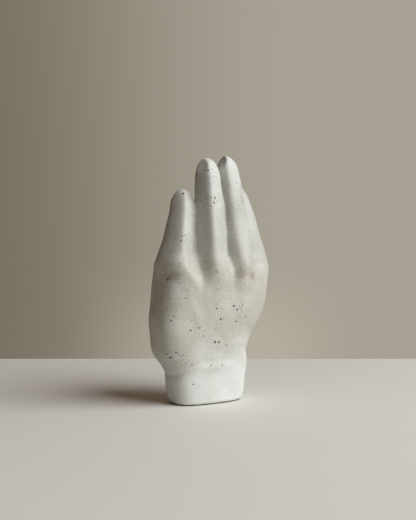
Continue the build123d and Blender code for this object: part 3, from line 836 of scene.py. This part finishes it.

# %% [markdown]
# ## White glaze
# A satin white over a stoneware body with iron in it. The glaze lies thick and white on the cuff,
# and thinner and greyer over the back of the hand, a little cooler on the fingers, with faint
# streaks from the brush. Towards the fingertips it turns whiter again, partly thicker glaze and
# partly a painted highlight. Where it is thin the iron burns through: pin-points, dark dots, a few
# close clusters and thirty blots that are big enough to have a place of their own. Just under the
# knuckles there are warm marks, partly stain and partly painted shade.
# An image would fix all of this at one size, so it is worked out from noise and lists of places.
# A place is given across and up, as the back of the hand is seen, with a radius, in millimetres.

# %% Glaze colours and marks
# The whitest glaze is the thick glaze on the cuff and, towards the fingertips, partly a painted highlight.
GLAZE_THICK_AND_HIGHLIGHT, GLAZE_THIN, GLAZE_COOL = rgb(219, 221, 217), rgb(191, 188, 176), rgb(188, 188, 181)
# The warm brown of the marks under the knuckles is partly stain and partly painted shade below each knuckle.
SPECK_DARK, SPECK_FAINT, STAIN_AND_SHADE = rgb(48, 36, 26), rgb(128, 112, 93), rgb(140, 120, 94)
# The bare band round the foot is darker than the clay under it: bare clay with painted shade where the foot
# meets the table.
BARE_CLAY_AND_SHADE = rgb(92, 66, 46)
BLOTS = (
    (14, 85.5, 1.1), (17, 82, 0.9), (-3.5, 83.5, 0.9), (0.5, 74.5, 1.0), (-4.5, 55, 1.1),
    (-0.5, 54.5, 1.0), (-42.5, 43, 0.9), (-45.5, 46, 0.6), (-39.5, 47.5, 0.8), (-37.5, 46.5, 0.6),
    (-28, 65.5, 0.9), (-19.5, 67.5, 0.7), (-16, 60.5, 0.7), (-44, 74, 0.7), (-42, 77.5, 0.6),
    (7.5, 51.5, 0.7), (21.5, 61, 0.6), (16.5, 72.5, 0.6), (10, 92.5, 0.6), (4, 34.5, 0.8),
    (-7, 35, 0.7), (-25, 36.5, 0.7), (-23, 19.5, 0.7), (-44, 108.5, 0.7), (-1.5, 175, 0.9),
    (0, 179.5, 0.8), (-3, 204.5, 0.8), (-24, 183.5, 1.0), (-33, 141, 0.7), (29, 182, 0.6),
)
# Warm marks just under the knuckles, across, up and radius: partly stain, partly painted shade below the
# knuckle bumps.
KNUCKLE_STAINS_AND_SHADE = ((-5, 115.5, 2.4), (19.5, 118, 2.2), (33, 112, 6.0), (-41, 111, 6.0), (20, 113, 7.0))
CLUSTERS = (
    (-2.5, 178, 8.5), (21, 174, 7.5), (-32.5, 143, 6.0), (-41.5, 110.5, 7.0), (-35, 40, 8.0),
)
SPECKLED_BACK = ((11, 78, 27.0),)
print("placed marks:", len(BLOTS), "blots,", len(KNUCKLE_STAINS_AND_SHADE), "stains_and_shade,", len(CLUSTERS), "clusters")

# %% Specks and placed marks
SPECK_CORE = 0.55
MARK_EDGE = 1.1


def specks(tree, place, cells, radius, share):
    """Round dots, at most one in each cell of a loose grid, and only in a share of the cells."""
    values = {"Vector": place, "Scale": cells, "Randomness": 1.0}
    apart = Wire.make(tree, "ShaderNodeTexVoronoi", {"feature": "F1"}, values, "Distance")
    chance = Wire.make(tree, "ShaderNodeTexVoronoi", {"feature": "F1"}, values, "Color")
    drawn = Wire.make(tree, "ShaderNodeSeparateColor", {}, {"Color": chance}, "Red")
    return apart.ramp(radius, radius * SPECK_CORE) * drawn.below(share)


def marks(tree, place, listed, core):
    """Marks seen from the back: 1 within a core share of each one's radius, 0 from just outside it."""
    flat = Wire.make(tree, VECTOR_MATH, {"operation": "MULTIPLY"}, {0: place, 1: (1.0, 0.0, 1.0)})
    dots = []
    for across, up, radius in listed:
        ends = {0: flat, 1: (across * MM, 0.0, up * MM)}
        apart = Wire.make(tree, VECTOR_MATH, {"operation": "DISTANCE"}, ends, "Value")
        dots.append(apart.ramp(radius * MM * MARK_EDGE, radius * MM * core))
    return reduce(lambda a, b: a.math("MAXIMUM", a, b), dots)


print(f"a mark of 1 mm has faded out {MARK_EDGE} mm from its middle")

# %% [markdown]
# The colour is built up in the order in which a potter would see it: the glaze, thick or thin and
# with a painted highlight towards the fingertips, then warm marks under the knuckles, partly stain
# and partly painted shade, then the specks, and last the bare line round the foot, darkened with
# painted shade where it meets the table. Lengths in a material are in metres, and a noise scale is
# in waves to the metre.

# %% Thick and thin glaze, with a painted highlight towards the fingertips
NOISE_MIDDLE = (0.3, 0.7)
CUFF_TILT, CUFF_FADES = 0.25, (0.064, 0.026)
TIP_FADES, TIP_GLAZE_AND_HIGHLIGHT = (0.165, 0.212), 0.85
COOL_FADES = (0.105, 0.145)
CLOUD_SCALE, CLOUD_RANGE = 38.0, (-0.25, 0.35)
BRUSH_STRETCH, BRUSH_SCALE, BRUSH_RANGE = (0.12, 0.12, 1.0), 520.0, (-0.06, 0.06)

glaze, tree, shader, place = new_material("white_satin_glaze")
across, deep, height = (
    Wire.make(tree, "ShaderNodeSeparateXYZ", {}, {"Vector": place}, axis) for axis in "XYZ"
)
on_back = deep.below(0.0)
cuff = (height - across * CUFF_TILT).ramp(*CUFF_FADES)
# Whiter towards the fingertips: partly thicker glaze, partly a painted highlight on the tops of the fingers.
tips_glaze_and_highlight = height.ramp(*TIP_FADES, 0.0, TIP_GLAZE_AND_HIGHLIGHT)
cloud = noise(tree, place, CLOUD_SCALE, 4.0).ramp(*NOISE_MIDDLE, *CLOUD_RANGE)
brushed = Wire.make(tree, VECTOR_MATH, {"operation": "MULTIPLY"}, {0: place, 1: BRUSH_STRETCH})
streaks = noise(tree, brushed, BRUSH_SCALE, 2.0).ramp(*NOISE_MIDDLE, *BRUSH_RANGE)
thin = mix_colour(tree, height.ramp(*COOL_FADES), GLAZE_THIN, GLAZE_COOL)
colour = mix_colour(tree, cuff + tips_glaze_and_highlight + cloud + streaks, thin, GLAZE_THICK_AND_HIGHLIGHT)
print("glaze without its marks:", len(tree.nodes), "nodes")

# %% Stains and painted shade, specks and blots
RAGGED_SCALE, RAGGED_STEP = 900.0, (0.0009, 0.0009, 0.0009)
STAIN_AND_SHADE_CORE, STAIN_AND_SHADE_STRENGTH = 0.1, 0.5
PATCH_SCALE, PATCH_RANGE, PATCH_LEAST, CUFF_SPECKS = 30.0, (0.40, 0.62), 0.2, 0.45
BACK_CORE, BACK_SPECKS = 0.3, 0.6
SPECK_LAYERS = (
    (200.0, 0.15, 0.50, SPECK_DARK, 0.75),
    (340.0, 0.21, 0.80, SPECK_DARK, 0.50),
    (680.0, 0.30, 0.80, SPECK_FAINT, 0.60),
)
CLUSTER_LAYER, CLUSTER_CORE, CLUSTER_STRENGTH = (400.0, 0.33, 0.95), 0.2, 0.75
CLUSTER_GAPS, CLUSTER_GAP_RANGE = 260.0, (0.3, 0.48)
BLOT_CORE, BLOT_STRENGTH = 0.75, 0.92
FOOT_FADES, FOOT_WAVER, FOOT_SCALE = (0.0020, 0.0014), 0.0012, 160.0

wander = noise(tree, place, RAGGED_SCALE, 2.0, 0.5, "Color")
steps = {0: wander, 1: RAGGED_STEP, 2: place}
ragged = Wire.make(tree, VECTOR_MATH, {"operation": "MULTIPLY_ADD"}, steps)
# Partly stain, partly painted shade: warm marks where each knuckle shades the skin below it.
stained_and_shaded = marks(tree, ragged, KNUCKLE_STAINS_AND_SHADE, STAIN_AND_SHADE_CORE) * on_back * STAIN_AND_SHADE_STRENGTH
colour = mix_colour(tree, stained_and_shaded, colour, STAIN_AND_SHADE)
patchy = noise(tree, place, PATCH_SCALE, 2.0).ramp(*PATCH_RANGE, PATCH_LEAST, 1.0)
patchy = patchy * cuff.ramp(0.0, 1.0, 1.0, CUFF_SPECKS)
patchy = patchy + marks(tree, place, SPECKLED_BACK, BACK_CORE) * on_back * BACK_SPECKS
for cells, radius, share, speck_colour, strength in SPECK_LAYERS:
    dots = specks(tree, place, cells, radius, share) * patchy * strength
    colour = mix_colour(tree, dots, colour, speck_colour)
gaps = noise(tree, place, CLUSTER_GAPS, 1.0).ramp(*CLUSTER_GAP_RANGE)
clustered = marks(tree, place, CLUSTERS, CLUSTER_CORE) * on_back * gaps
dots = specks(tree, place, *CLUSTER_LAYER) * clustered * CLUSTER_STRENGTH
colour = mix_colour(tree, dots, colour, SPECK_DARK)
blots = marks(tree, ragged, BLOTS, BLOT_CORE) * on_back
colour = mix_colour(tree, blots * BLOT_STRENGTH, colour, SPECK_DARK)
# The bare band round the foot: unglazed clay, darkened with painted shade where the foot meets the table.
bare_foot_and_shade = (height + noise(tree, place, FOOT_SCALE, 2.0) * FOOT_WAVER).ramp(*FOOT_FADES)
colour = mix_colour(tree, bare_foot_and_shade, colour, BARE_CLAY_AND_SHADE)
print("glaze with its marks:", len(tree.nodes), "nodes")

# %% [markdown]
# The glaze has a satin shine that is uneven from place to place, and rough bare clay at the foot.
# Two sizes of noise raise the skin a little, and each blot is a shallow pit. These forms are finer
# than the mesh, so a Bump node is the right tool for them.

# %% Glaze surface
GLOSS_SCALE, SATIN, BARE_ROUGHER = 90.0, (0.42, 0.54), 0.3
FINE_SCALE, FINE_SHARE, COARSE_SCALE, BLOT_PIT = 420.0, 0.5, 120.0, 0.6
GLAZE_IOR = 1.5

gloss = noise(tree, place, GLOSS_SCALE, 3.0).ramp(*NOISE_MIDDLE, *SATIN) + bare_foot_and_shade * BARE_ROUGHER
skin = noise(tree, place, FINE_SCALE, 3.0) * FINE_SHARE + noise(tree, place, COARSE_SCALE, 2.0)
skin = skin - blots * BLOT_PIT
glaze_bump = {"Strength": 0.45, "Distance": 0.0007, "Height": skin}
colour.feed(shader, "Base Color")
gloss.feed(shader, "Roughness")
Wire.make(tree, "ShaderNodeBump", {}, glaze_bump).feed(shader, "Normal")
shader.inputs["IOR"].default_value = GLAZE_IOR
for piece in pieces.values():
    piece.data.materials.append(glaze)
print("glaze on", len(pieces), "pieces")

# %% [markdown]
# ## Bare clay under the foot
# The floor of the foot is unglazed, so that it doesn't stick to the kiln shelf. It is a sandy
# brown with coarse grains. Its CAD solid already has the right shape, vent hole and all, so it
# stays and only gets a material.

# %% Bare clay
GRAIN_SCALE, GRAIN_RANGE, GRAIN_ROUGHNESS = 900.0, (0.35, 0.65), (0.75, 0.92)
CLAY_PALE, CLAY_BROWN, CLAY_GRIT = rgb(150, 118, 90), rgb(112, 84, 62), rgb(70, 52, 40)
GRIT_LAYER = (420.0, 0.2, 0.5)

clay_material, tree, shader, place = new_material("bare_stoneware")
grain = noise(tree, place, GRAIN_SCALE, 3.0, 0.7)
colour = mix_colour(tree, grain.ramp(*GRAIN_RANGE), CLAY_PALE, CLAY_BROWN)
colour = mix_colour(tree, specks(tree, place, *GRIT_LAYER), colour, CLAY_GRIT)
clay_bump = {"Strength": 0.4, "Distance": 0.0004, "Height": grain}
colour.feed(shader, "Base Color")
grain.ramp(*NOISE_MIDDLE, *GRAIN_ROUGHNESS).feed(shader, "Roughness")
Wire.make(tree, "ShaderNodeBump", {}, clay_bump).feed(shader, "Normal")
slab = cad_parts["floor_slab"]
slab.data.materials.clear()
slab.data.materials.append(clay_material)
print("bare clay on", slab.name)

# %% [markdown]
# ## Table
# The hand stands on a plain pale table. A huge floor would throw too much light back up into the
# shaded side, so the table is only as large as the picture needs. It is laid out as the camera
# sees it: to the right, ahead and up.

# %% Table
VIEW_TURN = np.radians(30.0)
AHEAD = np.array([np.sin(VIEW_TURN), np.cos(VIEW_TURN), 0.0])
RIGHT = np.array([np.cos(VIEW_TURN), -np.sin(VIEW_TURN), 0.0])
UP = np.array([0.0, 0.0, 1.0])
TABLE_BACK, TABLE_FRONT, TABLE_SIDE = 0.291, 0.62, 0.42
TABLE_PALE, TABLE_GREY = rgb(229, 229, 225), rgb(225, 225, 221)
TABLE_SCALE, TABLE_ROUGHNESS = 6.0, 0.7


def seen(right, ahead, up):
    """A point given as the camera sees it: metres to the right, away from the camera, and up."""
    return right * RIGHT + ahead * AHEAD + up * UP


table_corners = [
    tuple(seen(right, ahead, 0.0))
    for right, ahead in (
        (-TABLE_SIDE, -TABLE_FRONT), (TABLE_SIDE, -TABLE_FRONT),
        (TABLE_SIDE, TABLE_BACK), (-TABLE_SIDE, TABLE_BACK),
    )
]
table_mesh = bpy.data.meshes.new("table_top")
table_mesh.from_pydata(table_corners, [], [(0, 1, 2, 3)])
table_top = bpy.data.objects.new("table_top", table_mesh)
bpy.context.scene.collection.objects.link(table_top)
table_paint, tree, shader, place = new_material("pale_table_paint")
shade = noise(tree, place, TABLE_SCALE, 3.0)
mix_colour(tree, shade, TABLE_PALE, TABLE_GREY).feed(shader, "Base Color")
shader.inputs["Roughness"].default_value = TABLE_ROUGHNESS
table_mesh.materials.append(table_paint)
print(f"table {2 * TABLE_SIDE:.2f} m wide, {TABLE_FRONT + TABLE_BACK:.2f} m deep")

# %% [markdown]
# ## Light
# One wide soft lamp on the right does the work of a window. The world adds a weak warm light, most
# of it from above, so the shaded side stays readable. The wall behind is a backdrop: only camera,
# glossy and transmission rays see it, so it lights nothing. Light and shade are painted on it: it is
# darker on the left, away from the lamp, and a painted glow makes it palest low down behind the hand.

# %% Lamp
LAMP_AT, LAMP_AIM = seen(1.93, -0.80, 1.55), seen(0.0, 0.0, 0.10)
LAMP_SIZE, LAMP_POWER, LAMP_COLOUR = (2.6, 3.2), 90.0, (0.972, 0.993, 1.0)


def point_at(thing, place, target):
    """Puts a lamp or a camera at a place and turns it to look at a target."""
    thing.location = Vector(place)
    thing.rotation_euler = (Vector(target) - Vector(place)).to_track_quat("-Z", "Y").to_euler()


lamp_data = bpy.data.lights.new("window_lamp", "AREA")
lamp_data.shape, lamp_data.energy = "ELLIPSE", LAMP_POWER
lamp_data.size, lamp_data.size_y = LAMP_SIZE
lamp_data.color = LAMP_COLOUR
lamp = bpy.data.objects.new("window_lamp", lamp_data)
bpy.context.scene.collection.objects.link(lamp)
point_at(lamp, LAMP_AT, LAMP_AIM)
print("lamp", np.round(LAMP_AT, 2), "W", LAMP_POWER)

# %% World and backdrop
AMBIENT, AMBIENT_RANGE = (0.080, 0.049, 0.030, 1.0), (-0.1, 0.9, 0.3, 1.7)
# The backdrop's colours are painted light and shade: a shaded left, a lit right and a glow low behind the
# hand.
BACKDROP_SHADED_LEFT, BACKDROP_LIT_RIGHT, BACKDROP_GLOW = rgb(118, 111, 95), rgb(167, 161, 147), rgb(192, 186, 170)
BACKDROP_TURN = (-0.40, 0.14)
GLOW_HEIGHT, GLOW_LEFT, GLOW_RIGHT = (0.06, -0.12, 0.0, 0.5), (-0.25, 0.0), (0.26, 0.08)
BACKDROP_RAYS = ("Is Camera Ray", "Is Glossy Ray", "Is Transmission Ray")

world = bpy.data.worlds.new("studio")
bpy.context.scene.world = world
world.use_nodes = True
tree = world.node_tree
tree.nodes.clear()
way = Wire.make(tree, "ShaderNodeTexCoord", {}, {}, "Generated")
across, upward = (
    Wire.make(tree, VECTOR_MATH, {"operation": "DOT_PRODUCT"}, {0: way, 1: tuple(axis)}, "Value")
    for axis in (RIGHT, UP)
)
# Painted light and shade on the backdrop: darker on the left, away from the lamp, and a painted glow low down
# behind the hand.
wall = mix_colour(tree, across.ramp(*BACKDROP_TURN), BACKDROP_SHADED_LEFT, BACKDROP_LIT_RIGHT)
glow = upward.ramp(*GLOW_HEIGHT) * across.ramp(*GLOW_LEFT) * across.ramp(*GLOW_RIGHT)
wall = mix_colour(tree, glow, wall, BACKDROP_GLOW)
rays = [Wire.make(tree, "ShaderNodeLightPath", {}, {}, ray) for ray in BACKDROP_RAYS]
seen_by = rays[0] + rays[1] + rays[2]
from_above = upward.ramp(*AMBIENT_RANGE)
ambient = Wire.make(tree, "ShaderNodeBackground", {}, {"Color": AMBIENT, "Strength": from_above})
backdrop = Wire.make(tree, "ShaderNodeBackground", {}, {"Color": wall, "Strength": 1.0})
mixed = Wire.make(tree, "ShaderNodeMixShader", {}, {0: seen_by, 1: ambient, 2: backdrop})
Wire.make(tree, "ShaderNodeOutputWorld", {}, {"Surface": mixed})
print("world:", len(tree.nodes), "nodes, backdrop seen by", len(BACKDROP_RAYS), "kinds of ray")

# %% [markdown]
# ## Camera
# The camera looks straight ahead at the middle of the hand, so upright edges stay upright. Tilting
# it would make them lean, so a small vertical shift frames the hand instead.

# %% Camera
IMAGE_HEIGHT, FOCAL_PIXELS, HORIZON_ROW = 520, 600.0, 283.0
CAMERA_BACK, CAMERA_HEIGHT, CAMERA_SIDE = 0.540, 0.105, 0.0036
camera_data = bpy.data.cameras.new("camera")
camera_data.lens = camera_data.sensor_width * FOCAL_PIXELS / IMAGE_HEIGHT
camera_data.shift_y = (HORIZON_ROW - IMAGE_HEIGHT / 2) / IMAGE_HEIGHT
camera = bpy.data.objects.new("camera", camera_data)
bpy.context.scene.collection.objects.link(camera)
point_at(camera, seen(CAMERA_SIDE, -CAMERA_BACK, CAMERA_HEIGHT), seen(CAMERA_SIDE, 0.0, CAMERA_HEIGHT))
bpy.context.scene.camera = camera
bpy.context.scene.view_settings.view_transform = "Standard"
print(f"lens {camera_data.lens:.1f} mm, shift {camera_data.shift_y:.3f}")
